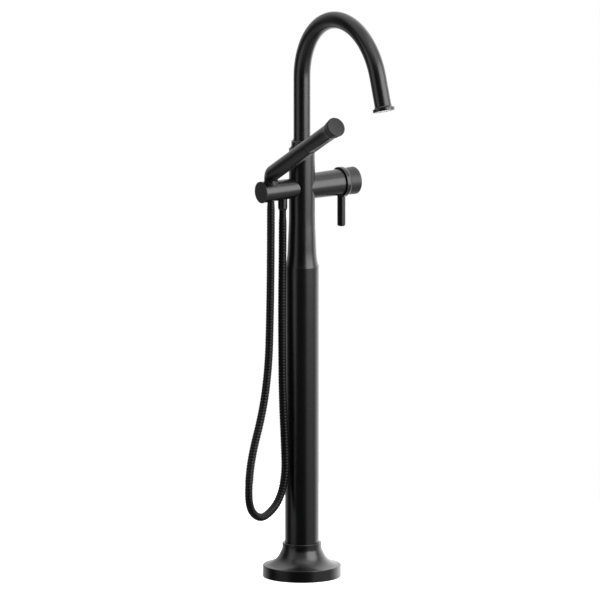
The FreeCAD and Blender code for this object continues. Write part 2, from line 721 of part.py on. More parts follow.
def temperature_spindle():
    tip = SPINDLE_START - SPINDLE_TIP_LENGTH
    spindle = cylinder(SPINDLE_TIP_R, SPINDLE_TIP_LENGTH, at_axis(tip), RIGHT)
    return spindle.fuse(cylinder(SPINDLE_R, SPINDLE_END - SPINDLE_START, at_axis(SPINDLE_START), RIGHT))


def cartridge_head():
    return spun_along_x([
        (SLEEVE_R + RUN, HEAD_START + GLIDE), (CUP_BORE - SEAT, HEAD_START + GLIDE),
        (CUP_BORE - SEAT, CUP_END),
        (CHAMBER_R - SEAT, CUP_END), (CHAMBER_R - SEAT, NUT_RING_START), (SLEEVE_R + RUN, NUT_RING_START),
    ])


def cartridge_retaining_nut():
    ring = cylinder(CHAMBER_R - SEAT, NUT_RING_LENGTH, at_axis(NUT_RING_START), RIGHT)
    ring = ring.cut(cylinder(NUT_RING_BORE, NUT_RING_LENGTH, at_axis(NUT_RING_START), RIGHT))
    key = prism(0.5 * (CHAMBER_R + NUT_RING_BORE), 0.6 * NUT_RING_LENGTH)
    key.Placement = Placement(at_axis(NUT_RING_START + 0.4 * NUT_RING_LENGTH), Rotation(UP, RIGHT))
    return ring.cut(key)


# Controls

def lever_glide_ring():
    return tube(GLIDE_RING_R, GLIDE_RING_BORE, GLIDE_RING_THICK, at_axis(HOUSING_END), RIGHT)


def lever_ring():
    bevel = RING_BEVEL
    ring = spun_along_x([
        (SLEEVE_R + SEAT, RING_START), (RING_R - SMALL_BEVEL, RING_START),
        (RING_R, RING_START + SMALL_BEVEL),
        (RING_R, RING_END - bevel), (RING_R - 0.25 * bevel, RING_END - 0.35 * bevel),
        (KNOB_R_START, RING_END),
        (SLEEVE_R + SEAT, RING_END),
    ])
    stud = cylinder(PIN_STUD_R + SEAT, PIN_STUD_LENGTH, Vector(PIN_X, 0, AXIS_Z - RING_R), UP)
    screw_hole = cylinder(SMALL_SCREW_R + SEAT, RING_R, at_axis(PIN_X), BACK)
    return ring.cut(stud).cut(screw_hole)


def lever_pin():
    tip = AXIS_Z - PIN_REACH
    saddle = AXIS_Z - RING_R + PIN_R
    round_r = PIN_TIP_ROUND
    middle = arc_point((PIN_R - round_r, tip + round_r), round_r, -45)
    grip = spun([
        (0, tip), (PIN_R - round_r, tip), (middle, (PIN_R, tip + round_r)), (PIN_R, saddle), (0, saddle),
    ])
    grip.translate(Vector(PIN_X, 0, 0))
    grip = grip.cut(cylinder(RING_R + SEAT, 8 * PIN_R, at_axis(PIN_X - 4 * PIN_R), RIGHT))
    stud_foot = Vector(PIN_X, 0, AXIS_Z - RING_R - PIN_STUD_R)
    return grip.fuse(cylinder(PIN_STUD_R, PIN_STUD_R + PIN_STUD_LENGTH - END_GAP, stud_foot))


def lever_set_screw():
    return set_screw(SMALL_SCREW_R, LEVER_SCREW_LENGTH, at_axis(PIN_X, SLEEVE_R + SEAT), BACK)


def temperature_knob():
    edge = KNOB_EDGE
    face_inner = KNOB_END - KNOB_FACE
    cavity_r = KNOB_R_START - KNOB_WALL
    middle = arc_point((KNOB_R_END - edge, KNOB_END - edge), edge, 45)
    hub_start = KNOB_START + KNOB_HUB_SET_BACK
    bore_end = SPINDLE_END + END_GAP
    knob = spun_along_x([
        (cavity_r, KNOB_START), (KNOB_R_START - SMALL_BEVEL, KNOB_START),
        (KNOB_R_START, KNOB_START + SMALL_BEVEL),
        (KNOB_R_END, KNOB_END - edge), (middle, (KNOB_R_END - edge, KNOB_END)), (0, KNOB_END),
        (0, bore_end), (SPINDLE_R + SEAT, bore_end), (SPINDLE_R + SEAT, hub_start), (KNOB_HUB_R, hub_start),
        (KNOB_HUB_R, face_inner), (cavity_r, face_inner),
    ])
    screw_x = (hub_start + face_inner) / 2
    return knob.cut(cylinder(SMALL_SCREW_R + SEAT, KNOB_R_END + CUT_PAST, at_axis(screw_x), BACK))


def knob_set_screw():
    screw_x = (KNOB_START + KNOB_HUB_SET_BACK + KNOB_END - KNOB_FACE) / 2
    length = KNOB_HUB_R - SPINDLE_R - SCREW_BACK
    return set_screw(SMALL_SCREW_R, length, at_axis(screw_x, SPINDLE_R + SEAT), BACK)


# Spout

def spout_slip_ring():
    return tube(SHOULDER_R - SLIP_RING_BACK, BUSH_R + RUN, SLIP_RING_THICK - GLIDE, Vector(0, 0, NECK_TOP))


def spout_bush():
    outer = BUSH_R - RUN
    foot = NECK_TOP - BUSH_DEPTH
    plug = SPOUT_R - SPOUT_WALL - SEAT
    bush = spun([
        (BUSH_BORE, foot), (outer, foot), (outer, SPOUT_FOOT), (plug, SPOUT_FOOT),
        (plug, SPOUT_FOOT + BUSH_PLUG_LENGTH), (BUSH_BORE, SPOUT_FOOT + BUSH_PLUG_LENGTH),
    ])
    for drop in BUSH_SEAL_DROPS:
        bush = bush.cut(seal_groove(outer, NECK_TOP - drop, True))
    # slot that the stop screw runs in, open over the swing to either side
    screw_deg = math.degrees(math.asin(STOP_SCREW_R / (outer - STOP_DEPTH)))
    half_deg = SPOUT_SWING_DEG + screw_deg + STOP_SPARE_DEG
    height = 2 * (STOP_SCREW_R + 2 * SEAT)
    foot = Vector(0, 0, NECK_TOP - STOP_DROP - height / 2)
    slot = Part.makeCylinder(outer + CUT_PAST, height, foot, UP, 2 * half_deg)
    slot = slot.cut(cylinder(outer - STOP_DEPTH, height, foot))
    slot.rotate(Vector(0, 0, 0), UP, 90.0 - half_deg)
    return bush.cut(slot)


def spout_seal_rings():
    rings = []
    for drop in BUSH_SEAL_DROPS:
        ring = seal_ring(BUSH_R - RUN - 2 * (SEAL_SECTION_R + SEAL_GAP))
        ring.translate(Vector(0, 0, NECK_TOP - drop))
        rings.append(ring)
    return Part.makeCompound(rings)


def spout_stop_screw():
    nose = BUSH_R - RUN - STOP_DEPTH + 2 * SEAT
    return set_screw(STOP_SCREW_R, NECK_R - SCREW_BACK - nose, Vector(0, nose, NECK_TOP - STOP_DROP), BACK)


def spout_ferrule():
    top = SPOUT_FOOT + FERRULE_BAND
    bore = SPOUT_R + SEAT
    lip = bore + SMALL_BEVEL
    middle = (lip + 0.29 * (FERRULE_R - lip), top + 0.29 * FERRULE_COVE)
    return spun([
        (bore, SPOUT_FOOT), (FERRULE_R - SMALL_BEVEL, SPOUT_FOOT), (FERRULE_R, SPOUT_FOOT + SMALL_BEVEL),
        (FERRULE_R, top),
        (middle, (lip, top + FERRULE_COVE)), (bore, top + FERRULE_COVE),
    ])


def spout_end():
    """Placement whose Z runs out of the spout, with its origin where the bend ends."""
    angle = math.radians(SPOUT_BEND_DEG)
    centre = Vector(0, -SPOUT_BEND_R, SPOUT_FOOT + SPOUT_RISE)
    place = centre + Vector(0, SPOUT_BEND_R * math.cos(angle), SPOUT_BEND_R * math.sin(angle))
    return Placement(place, Rotation(RIGHT, SPOUT_BEND_DEG))


def in_spout_end(shape):
    shape.Placement = spout_end().multiply(shape.Placement)
    return shape


def spout_tube():
    bend_z = SPOUT_FOOT + SPOUT_RISE
    centre = Vector(0, -SPOUT_BEND_R, bend_z)
    solids = []
    for radius in (SPOUT_R, SPOUT_R - SPOUT_WALL):
        riser = cylinder(radius, SPOUT_RISE, Vector(0, 0, SPOUT_FOOT))
        disc = Part.Face(Part.Wire(Part.makeCircle(radius, Vector(0, 0, bend_z), UP)))
        bend = disc.revolve(centre, RIGHT, SPOUT_BEND_DEG)
        tail = in_spout_end(cylinder(radius, SPOUT_TAIL - OUTLET_DEPTH, Vector(0, 0, 0)))
        solids.append(riser.fuse([bend, tail]))
    return solids[0].cut(solids[1]).removeSplitter()


def outlet_ring():
    top = SPOUT_TAIL - OUTLET_LIP - OUTLET_FLARE
    bore = SPOUT_R + SEAT
    seat = SPOUT_TAIL - OUTLET_DEPTH
    lip_z = SPOUT_TAIL - OUTLET_LIP
    middle = (bore + SMALL_BEVEL + 0.3 * (OUTLET_R - bore), top + 0.62 * OUTLET_FLARE)
    return in_spout_end(spun([
        (bore, top), (bore + SMALL_BEVEL, top), (middle, (OUTLET_R, lip_z)),
        (OUTLET_R, SPOUT_TAIL - OUTLET_BEVEL),
        (OUTLET_R - OUTLET_BEVEL, SPOUT_TAIL), (OUTLET_BORE, SPOUT_TAIL), (OUTLET_BORE, seat), (bore, seat),
    ]))


def aerator_seal():
    start = Vector(0, 0, SPOUT_TAIL - OUTLET_DEPTH)
    return in_spout_end(tube(OUTLET_BORE - SEAT, AERATOR_STEM_R + SEAT, AERATOR_SEAL_THICK, start))


def rings_of_holes(radius, ring_radii, ring_counts, length, start):
    """Cylinders along Z: one in the middle, then rings of them, each with its own radius and count."""
    holes = [cylinder(radius, length, Vector(0, 0, start))]
    for ring_r, count in zip(ring_radii, ring_counts):
        for angle in round_angles(count):
            holes.append(cylinder(radius, length, around(ring_r, angle) + Vector(0, 0, start)))
    return holes


def aerator_insert():
    """White insert: face with rings of holes, flange in the outlet ring and a stem up the spout."""
    face = SPOUT_TAIL - AERATOR_SET_BACK
    flange = SPOUT_TAIL - OUTLET_DEPTH + AERATOR_SEAL_THICK
    stem = SPOUT_TAIL - OUTLET_DEPTH - AERATOR_STEM
    stem_bore = AERATOR_STEM_R - AERATOR_WALL
    insert = spun([
        (0, face - AERATOR_FACE), (stem_bore, face - AERATOR_FACE), (stem_bore, stem),
        (AERATOR_STEM_R, stem), (AERATOR_STEM_R, flange), (OUTLET_BORE - SEAT, flange),
        (OUTLET_BORE - SEAT, face - SMALL_BEVEL), (OUTLET_BORE - SEAT - SMALL_BEVEL, face), (0, face),
    ])
    start = face - AERATOR_FACE
    holes = rings_of_holes(AERATOR_HOLE_R, AERATOR_RING_R, AERATOR_RING_HOLES, AERATOR_FACE, start)
    return in_spout_end(insert.cut(holes))


def aerator_screen():
    top = SPOUT_TAIL - OUTLET_DEPTH - AERATOR_STEM
    screen = cylinder(AERATOR_STEM_R, SCREEN_THICK, Vector(0, 0, top - SCREEN_THICK))
    start = top - SCREEN_THICK
    holes = rings_of_holes(SCREEN_HOLE_R, SCREEN_RING_R, SCREEN_RING_HOLES, SCREEN_THICK, start)
    return in_spout_end(screen.cut(holes))


# Cross bar

def bar_radius(x):
    share = (abs(x) - NECK_R) / (BAR_END - NECK_R)
    return BAR_R_START + share * (BAR_R_END - BAR_R_START)


def bar_cone(trim=0.0):
    """The bar's outside from the neck's middle line to its end, drawn in by a trim."""
    return Part.makeCone(bar_radius(0) - trim, BAR_R_END - trim, BAR_END, at_axis(0), LEFT)


def cross_bar():
    bar = bar_cone()
    bar = bar.cut(cylinder(NECK_R + SEAT, 4 * BAR_R_END, at_axis(0, 0, -2 * BAR_R_END)))
    bar = bar.fuse(cylinder(BAR_SPIGOT_R, NECK_R, at_axis(BAR_SPIGOT_DEPTH - NECK_R), LEFT))
    bar = bar.cut(cylinder(BAR_RECESS_R, BAR_RECESS, at_axis(BAR_SPIGOT_DEPTH - NECK_R), LEFT))
    bar = bar.cut(cylinder(BAR_WATERWAY_R, BAR_WATERWAY_END, at_axis(0), LEFT))
    plug_depth = CAP_THICK + CAP_PLUG_LENGTH + END_GAP
    bar = bar.cut(cylinder(CAP_PLUG_R + SEAT, plug_depth, at_axis(-BAR_END), RIGHT))
    bar = bar.cut(cylinder(BAR_R_END + CUT_PAST, CAP_THICK, at_axis(-BAR_END), RIGHT))
    bar = bar.cut(cylinder(LINER_R + SEAT, 2 * BAR_R_END, Vector(CRADLE_X, 0, CRADLE_Z)))
    bar = bar.cut(cylinder(HOSE_R + HOSE_ROOM, 2 * BAR_R_END, Vector(CRADLE_X, 0, CRADLE_Z), DOWN))
    nipple_length = BAR_R_END - NIPPLE_TOP + CUT_PAST
    return bar.cut(cylinder(NIPPLE_R + SEAT, nipple_length, at_axis(OUTLET_X, 0, -NIPPLE_TOP), DOWN))


def cross_bar_cap():
    cap = Part.makeCone(BAR_R_END, bar_radius(BAR_END - CAP_THICK), CAP_THICK, at_axis(-BAR_END), RIGHT)
    return cap.fuse(cylinder(CAP_PLUG_R, CAP_PLUG_LENGTH, at_axis(CAP_THICK - BAR_END), RIGHT))


def cradle_liner():
    liner = cylinder(LINER_R, 2 * BAR_R_END, Vector(CRADLE_X, 0, CRADLE_Z))
    liner = liner.cut(cylinder(TAIL_R + RUN, 2 * BAR_R_END, Vector(CRADLE_X, 0, CRADLE_Z + LINER_FLOOR)))
    liner = liner.cut(cylinder(HOSE_R + HOSE_ROOM, LINER_FLOOR, Vector(CRADLE_X, 0, CRADLE_Z)))
    return liner.common(bar_cone(LINER_TRIM))


def hose_check_valve():
    start = at_axis(-VALVE_INSERT_START)
    return tube(BAR_WATERWAY_R - SEAT, VALVE_INSERT_BORE, VALVE_INSERT_LENGTH, start, LEFT)


def hose_nipple():
    length = HOSE_NUT_BAND - NIPPLE_TOP
    return tube(NIPPLE_R, NIPPLE_BORE, length, at_axis(OUTLET_X, 0, -NIPPLE_TOP - GLIDE), DOWN)


def hose_outlet_nut():
    foot = HOSE_NUT_Z
    band = foot + HOSE_NUT_TAPER
    saddle = AXIS_Z - BAR_R_START + HOSE_NUT_R / 2
    nut = spun([
        (NIPPLE_BORE, foot), (HOSE_NUT_END_R, foot), (HOSE_NUT_R, band), (HOSE_NUT_R, saddle),
        (NIPPLE_R + SEAT, saddle), (NIPPLE_R + SEAT, band - GLIDE), (NIPPLE_BORE, band - GLIDE),
    ])
    nut.translate(Vector(OUTLET_X, 0, 0))
    return nut.cut(bar_cone(-SEAT))


# Hand shower. In its own axes the wand runs along +Z from the elbow's corner, and -Y is the underside.

def in_wand(shape):
    shape.Placement = WAND.multiply(shape.Placement)
    return shape


def elbow():
    """Bend from the tail to the wand, growing steadily from one radius to the other."""
    centre = Vector(CRADLE_X, -ELBOW_BEND_R, ELBOW_Z - ELBOW_TANGENT)
    wires = []
    for i in range(ELBOW_SECTIONS + 1):
        share = i / ELBOW_SECTIONS
        turn = ELBOW_TURN * share
        radius = TAIL_R + (WAND_R_START - TAIL_R) * (0.5 - 0.5 * math.cos(math.pi * share))
        place = centre + Vector(0, ELBOW_BEND_R * math.cos(turn), ELBOW_BEND_R * math.sin(turn))
        circle = Part.Circle(Vector(0, 0, 0), UP, radius).toShape()
        circle.Placement = Placement(place, Rotation(RIGHT, math.degrees(turn)))
        wires.append(Part.Wire(circle))
    return Part.makeLoft(wires, True, False)


def wand_outer():
    """The wand from the elbow to the head ring, with the flare towards the head."""
    flare_start = HEAD_RING_START - WAND_FLARE
    flare = [(WAND_R_END, flare_start), (HEAD_R_FOOT, HEAD_RING_START)]
    return spun_edges([
        line((0, ELBOW_TANGENT), (WAND_R_START, ELBOW_TANGENT)),
        line((WAND_R_START, ELBOW_TANGENT), flare[0]),
        curve_between(flare, (0.0, 1.0), (0.16, 1.0)),
        line(flare[1], (0, HEAD_RING_START)),
        line((0, HEAD_RING_START), (0, ELBOW_TANGENT)),
    ])


def panel_window(clearance):
    """Block that holds the panel, reaching out past the wand's underside."""
    half = PANEL_HALF_WIDTH - clearance
    depth = 2 * WAND_R_END
    corner = Vector(-half, -depth, PANEL_START + clearance)
    return Part.makeBox(2 * half, depth - PANEL_BACK, PANEL_LENGTH - 2 * clearance, corner)


def panel_flat_depth(s):
    share = (s - PANEL_START) / PANEL_LENGTH
    return PANEL_DEPTH_START + share * (PANEL_DEPTH_END - PANEL_DEPTH_START)


def below_flat():
    """Wedge outside the panel's flat face."""
    side = 2 * WAND_R_END
    first = PANEL_START - CUT_PAST
    last = PANEL_START + PANEL_LENGTH + CUT_PAST
    points = [
        Vector(-side, -panel_flat_depth(first), first),
        Vector(-side, -panel_flat_depth(last), last),
        Vector(-side, -side, last),
        Vector(-side, -side, first),
    ]
    return Part.Face(Part.makePolygon(points + points[:1])).extrude(Vector(2 * side, 0, 0))


def notch():
    """Shallow groove across the underside, where the panel starts."""
    start = PANEL_START - NOTCH_WIDTH
    outer = WAND_R_END + CUT_PAST
    ring = tube(outer, WAND_R_END - NOTCH_DEPTH, NOTCH_WIDTH, Vector(0, 0, start))
    reach = WAND_R_END * math.cos(math.radians(NOTCH_HALF_DEG))
    corner = Vector(-outer, -outer, start)
    return ring.common(Part.makeBox(2 * outer, outer - reach, NOTCH_WIDTH, corner))


def handset_body():
    bore = cylinder(WAND_BORE, HEAD_RING_START, Vector(0, 0, INNER_TUBE_START))
    wand = wand_outer().cut(bore).cut(panel_window(0.0)).cut(notch())
    body = cylinder(TAIL_R, ELBOW_Z - ELBOW_TANGENT - TAIL_Z, Vector(CRADLE_X, 0, TAIL_Z))
    body = body.fuse([elbow(), in_wand(wand)])
    seat_top = TAIL_Z + HOSE_SEAT_RISE + HOSE_SEAT_LENGTH + HOSE_WASHER_THICK
    seat = cylinder(HOSE_SEAT_R + RUN, seat_top - TAIL_Z, Vector(CRADLE_X, 0, TAIL_Z))
    way_up = cylinder(WATERWAY_R, ELBOW_Z - seat_top, Vector(CRADLE_X, 0, seat_top))
    corner = Part.makeSphere(WATERWAY_R, Vector(CRADLE_X, 0, ELBOW_Z))
    way_out = in_wand(cylinder(WATERWAY_R, INNER_TUBE_START, Vector(0, 0, 0)))
    return body.cut([seat, way_up, corner, way_out])


def handset_hose_nut():
    return tube(HOSE_SEAT_R, NIPPLE_BORE, HOSE_SEAT_LENGTH - GLIDE, Vector(CRADLE_X, 0, HOSE_TOP))


def handset_hose_washer():
    start = Vector(CRADLE_X, 0, HOSE_TOP + HOSE_SEAT_LENGTH)
    return tube(HOSE_SEAT_R, NIPPLE_BORE, HOSE_WASHER_THICK, start)


def wand_inner_tube():
    start, end = INNER_TUBE_START, INNER_TUBE_END
    flange = WAND_BORE - SEAT
    shape = spun([
        (INNER_TUBE_BORE, start), (flange, start), (flange, start + INNER_TUBE_FLANGE),
        (INNER_TUBE_R, start + INNER_TUBE_FLANGE), (INNER_TUBE_R, end - INNER_TUBE_FLANGE),
        (flange, end - INNER_TUBE_FLANGE), (flange, end), (INNER_TUBE_BORE, end),
    ])
    return in_wand(shape)


def nozzle_places():
    places = []
    for column in range(NOZZLE_COLUMNS):
        for row in range(NOZZLE_ROWS):
            x = NOZZLE_PITCH_X * (row - (NOZZLE_ROWS - 1) / 2)
            places.append((x, PANEL_START + NOZZLE_FIRST + NOZZLE_PITCH_S * column))
    return places


def spray_panel():
    panel = panel_window(SEAT).common(wand_outer()).cut(below_flat())
    holes = []
    for x, s in nozzle_places():
        holes.append(cylinder(NOZZLE_R + SEAT, 2 * WAND_R_END, Vector(x, 0, s), FORWARD))
    return in_wand(panel.cut(holes))


def spray_nozzles():
    """Soft mat behind the panel with its nozzles standing through the panel's holes."""
    back = PANEL_BACK - GLIDE
    length = NOZZLE_PITCH_S * (NOZZLE_COLUMNS - 1) + 2 * (NOZZLE_R + NOZZLE_PAD_MARGIN)
    corner = Vector(-NOZZLE_PAD_HALF, -back, PANEL_START + NOZZLE_FIRST - NOZZLE_R - NOZZLE_PAD_MARGIN)
    pad = Part.makeBox(2 * NOZZLE_PAD_HALF, NOZZLE_PAD, length, corner)
    pins = []
    for x, s in nozzle_places():
        reach = panel_flat_depth(s) + NOZZLE_PROUD - back + NOZZLE_ROOT
        root = Vector(x, NOZZLE_ROOT - back, s)
        pins.append(Part.makeCone(NOZZLE_R, NOZZLE_TIP_R, reach, root, FORWARD))
    return in_wand(pad.fuse(pins))


def handset_head_ring():
    inner = WAND_BORE + SEAT
    end = HEAD_RING_START + HEAD_RING_WIDTH
    bevel = SMALL_BEVEL
    return in_wand(spun([
        (inner, HEAD_RING_START), (HEAD_RING_R - bevel, HEAD_RING_START),
        (HEAD_RING_R, HEAD_RING_START + bevel),
        (HEAD_RING_R, end - bevel), (HEAD_RING_R - bevel, end), (inner, end),
    ]))


def handset_end_cap():
    groove = HEAD_RING_START + HEAD_RING_WIDTH
    start = groove + HEAD_GROOVE
    edge_z = WAND_LENGTH - CAP_EDGE
    edge_r = CAP_R_END - CAP_EDGE
    middle = arc_point((edge_r, edge_z), CAP_EDGE, 45)
    stem = WAND_BORE - SEAT
    stem_start = groove - CAP_STEM
    return in_wand(spun([
        (stem - CAP_WALL, stem_start), (stem, stem_start), (stem, groove), (HEAD_GROOVE_R, groove),
        (HEAD_GROOVE_R, start), (CAP_R_START, start), (CAP_R_END, edge_z),
        (middle, (edge_r, WAND_LENGTH)), (0, WAND_LENGTH), (0, WAND_LENGTH - CAP_FACE),
        (stem - CAP_WALL, WAND_LENGTH - CAP_FACE),
    ]))


# Hose

def hose_route():
    start = Vector(CRADLE_X, 0, HOSE_TOP)
    end = Vector(OUTLET_X, 0, HOSE_NUT_Z)
    return [start] + [Vector(*point) for point in HOSE_POINTS] + [end]


def hose_pieces(route):
    """Straight runs and tangent arcs as (kind, length, start, direction, centre, axis, angle)."""
    pieces = []
    radii = []
    here = route[0]
    for before, corner, after in zip(route, route[1:], route[2:]):
        come = (corner - before).normalize()
        go = (after - corner).normalize()
        turn = come.getAngle(go)
        shorter = min((corner - before).Length, (after - corner).Length)
        tangent = HOSE_BEND_SHARE * shorter
        radius = tangent / math.tan(turn / 2)
        radii.append(radius)
        entry = corner - come * tangent
        axis = come.cross(go).normalize()
        centre = entry + axis.cross(come) * radius
        pieces.append(("run", (entry - here).Length, here, come, None, None, 0.0))
        pieces.append(("bend", radius * turn, entry, come, centre, axis, turn))
        here = corner + go * tangent
    last = (route[-1] - here).normalize()
    pieces.append(("run", (route[-1] - here).Length, here, last, None, None, 0.0))
    return pieces, radii


def hose_path(pieces):
    edges = []
    for kind, length, start, direction, centre, axis, turn in pieces:
        if kind == "run":
            edges.append(Part.LineSegment(start, start + direction * length).toShape())
        else:
            arm = start - centre
            middle = centre + Rotation(axis, math.degrees(turn / 2)).multVec(arm)
            end = centre + Rotation(axis, math.degrees(turn)).multVec(arm)
            edges.append(Part.Arc(start, middle, end).toShape())
    return Part.Wire(edges)


def hose_at(pieces, distance):
    """Place and direction on the hose's middle line at a distance from its start."""
    for kind, length, start, direction, centre, axis, turn in pieces:
        if distance <= length + 1e-9:
            break
        distance -= length
    if kind == "run":
        return start + direction * distance, direction
    spin = Rotation(axis, math.degrees(turn * distance / length))
    return centre + spin.multVec(start - centre), spin.multVec(direction)


def hose_circle(pieces, distance, radius):
    """Circle square to the hose whose own X axis keeps to the same side all the way."""
    place, direction = hose_at(pieces, distance)
    side = BACK.cross(direction).normalize()
    depth = direction.cross(side)
    frame = Matrix(
        side.x, depth.x, direction.x, place.x,
        side.y, depth.y, direction.y, place.y,
        side.z, depth.z, direction.z, place.z,
        0, 0, 0, 1)
    circle = Part.Circle(Vector(0, 0, 0), UP, radius).toShape()
    circle.Placement = Placement(frame)
    return Part.Wire(circle)


def shower_hose():
    pieces, radii = hose_pieces(hose_route())
    length = sum(piece[1] for piece in pieces)
    plain = 2 * HOSE_R
    pitch = (length - 2 * plain) / HOSE_RIBS
    rise, fall, root = HOSE_RIB_SHARES
    stations = [(0.0, HOSE_ROOT_R)]
    for rib in range(HOSE_RIBS):
        foot = plain + rib * pitch
        stations.append((foot, HOSE_ROOT_R))
        stations.append((foot + rise * pitch, HOSE_R))
        stations.append((foot + fall * pitch, HOSE_R))
        stations.append((foot + root * pitch, HOSE_ROOT_R))
    stations.append((length - plain, HOSE_ROOT_R))
    stations.append((length, HOSE_ROOT_R))
    skin = Part.makeLoft([hose_circle(pieces, at, radius) for at, radius in stations], True, True)
    path = hose_path(pieces)
    bore = path.makePipeShell([hose_circle(pieces, 0.0, HOSE_BORE)], True, False)
    hose = skin.cut(bore)
    wall = math.pi * (HOSE_ROOT_R ** 2 - HOSE_BORE ** 2) * length
    print("hose: length", round(length, 1), "rib pitch", round(pitch, 2))
    print("hose: bend radii", [round(r) for r in radii])
    print("hose: volume", round(hose.Volume), "least section times length", round(wall))
    return hose


PIECES = {
    "floor_plate": floor_plate,
    "column_clamp_screws": column_clamp_screws,
    "floor_cover": floor_cover,
    "cover_seal_ring": cover_seal_ring,
    "column_tube": column_tube,
    "hot_supply_pipe": lambda: supply_pipe(1),
    "cold_supply_pipe": lambda: supply_pipe(-1),
    "hot_inlet_nut": lambda: inlet_nut(1),
    "cold_inlet_nut": lambda: inlet_nut(-1),
    "inlet_washers": inlet_washers,
    "pipe_spacers": pipe_spacers,
    "mixer_body": mixer_body,
    "body_seal_ring": body_seal_ring,
    "column_set_screw": column_set_screw,
    "cartridge_body": cartridge_body,
    "cartridge_seal_ring": cartridge_seal_ring,
    "fixed_disc": fixed_disc,
    "diverter_disc": diverter_disc,
    "flow_sleeve": flow_sleeve,
    "mixing_spool": mixing_spool,
    "temperature_spindle": temperature_spindle,
    "cartridge_head": cartridge_head,
    "cartridge_retaining_nut": cartridge_retaining_nut,
    "lever_glide_ring": lever_glide_ring,
    "lever_ring": lever_ring,
    "lever_pin": lever_pin,
    "lever_set_screw": lever_set_screw,
    "temperature_knob": temperature_knob,
    "knob_set_screw": knob_set_screw,
    "spout_slip_ring": spout_slip_ring,
    "spout_bush": spout_bush,
    "spout_seal_rings": spout_seal_rings,
    "spout_stop_screw": spout_stop_screw,
    "spout_ferrule": spout_ferrule,
    "spout_tube": spout_tube,
    "outlet_ring": outlet_ring,
    "aerator_seal": aerator_seal,
    "aerator_insert": aerator_insert,
    "aerator_screen": aerator_screen,
    "cross_bar": cross_bar,
    "cross_bar_cap": cross_bar_cap,
    "cradle_liner": cradle_liner,
    "hose_check_valve": hose_check_valve,
    "hose_nipple": hose_nipple,
    "hose_outlet_nut": hose_outlet_nut,
    "handset_body": handset_body,
    "handset_hose_nut": handset_hose_nut,
    "handset_hose_washer": handset_hose_washer,
    "wand_inner_tube": wand_inner_tube,
    "spray_panel": spray_panel,
    "spray_nozzles": spray_nozzles,
    "handset_head_ring": handset_head_ring,
    "handset_end_cap": handset_end_cap,
    "shower_hose": shower_hose,
}

os.makedirs("parts", exist_ok=True)
for name, make in PIECES.items():
    make().exportStep("parts/" + name + ".step")
print("pieces:", len(PIECES))
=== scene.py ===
import bpy
import json
import math
import numpy as np
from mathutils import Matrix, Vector


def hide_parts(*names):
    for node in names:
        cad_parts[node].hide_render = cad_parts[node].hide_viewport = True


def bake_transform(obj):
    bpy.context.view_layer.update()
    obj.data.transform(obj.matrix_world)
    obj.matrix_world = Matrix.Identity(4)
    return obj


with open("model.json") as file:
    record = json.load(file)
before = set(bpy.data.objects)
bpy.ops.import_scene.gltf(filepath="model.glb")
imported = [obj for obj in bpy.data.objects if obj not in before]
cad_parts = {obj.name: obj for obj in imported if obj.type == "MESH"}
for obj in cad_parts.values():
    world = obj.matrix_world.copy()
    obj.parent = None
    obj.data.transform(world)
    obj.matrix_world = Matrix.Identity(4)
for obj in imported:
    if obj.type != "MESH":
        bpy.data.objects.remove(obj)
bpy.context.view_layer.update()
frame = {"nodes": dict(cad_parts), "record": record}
print("frame loaded:", len(frame["nodes"]), "nodes")

scene = bpy.context.scene
scene.view_settings.view_transform = "Standard"


# Camera without perspective, as a very long lens gives it
cameraSet = {
    "azimuth": -34.6,           # degrees round from the front
    "elevation": 11.1,          # degrees above level
    "pictureWidth": 1.1196,     # metres across the 600 pixels
    "middleAcross": -0.0038,    # picture's middle from the column's foot, across and up
    "middleUp": 0.514,
    "distance": 3.0,
    "clip": (0.05, 20),
}


def placeCamera(s):
    a, e = math.radians(s["azimuth"]), math.radians(s["elevation"])
    back = Vector((math.sin(a) * math.cos(e), -math.cos(a) * math.cos(e), math.sin(e)))
    across = Vector((math.cos(a), math.sin(a), 0))
    up = back.cross(across)
    data = bpy.data.cameras.new("pictureCamera")
    data.type = "ORTHO"
    data.ortho_scale = s["pictureWidth"]
    data.clip_start, data.clip_end = s["clip"]
    camera = bpy.data.objects.new("pictureCamera", data)
    camera.location = across * s["middleAcross"] + up * s["middleUp"] + back * s["distance"]
    camera.rotation_euler = back.to_track_quat("Z", "Y").to_euler()
    scene.collection.objects.link(camera)
    scene.camera = camera


placeCamera(cameraSet)
print("camera placed")


# Shower hose: route in metres from the hand shower's end down, round the loop and up to the nut on the bar
hoseSet = {
    "route": [
        (-0.0706, 0.0, 0.72905),
        (-0.0706, 0.0, 0.622),
        (-0.0735, -0.001, 0.491),
        (-0.080, -0.006, 0.407),
        (-0.098, -0.014, 0.326),
        (-0.134, -0.027, 0.243),
        (-0.1517, -0.043, 0.181),
        (-0.1435, -0.038, 0.1455),
        (-0.118, -0.029, 0.1265),
        (-0.088, -0.014, 0.1265),
        (-0.057, -0.008, 0.149),
        (-0.043, -0.0085, 0.196),
        (-0.0445, -0.008, 0.254),
        (-0.0475, -0.005, 0.343),
        (-0.0478, -0.0035, 0.440),
        (-0.0466, -0.0014, 0.535),
        (-0.044, 0.0, 0.622),
        (-0.044, 0.0, 0.700),
    ],
    "length": 1.2511,
    "diameter": 0.014,
    "crestRadius": 0.0075,
    "rootRadius": 0.0066,
    "boreRadius": 0.0050,
    "pitch": 0.0056,            # one turn of the wound strip
    "ridgeGain": 1.35,          # over 1 cuts the top of the wave flat
    "ridgePower": 0.55,         # under 1 makes the ridge fuller and the groove narrower
    "plainEnd": 0.012,          # smooth sleeve at either end; the ridge grows over as much again
    "around": 26,               # points round the hose
    "stepsPerTurn": 9,          # rings to one pitch
    "curveSteps": 24,           # points between two places of the route
    "lookAhead": 0.002,         # how far to either side the direction is taken
    "pathStride": 3,            # every third ring's middle is kept in the hose's line of points
}


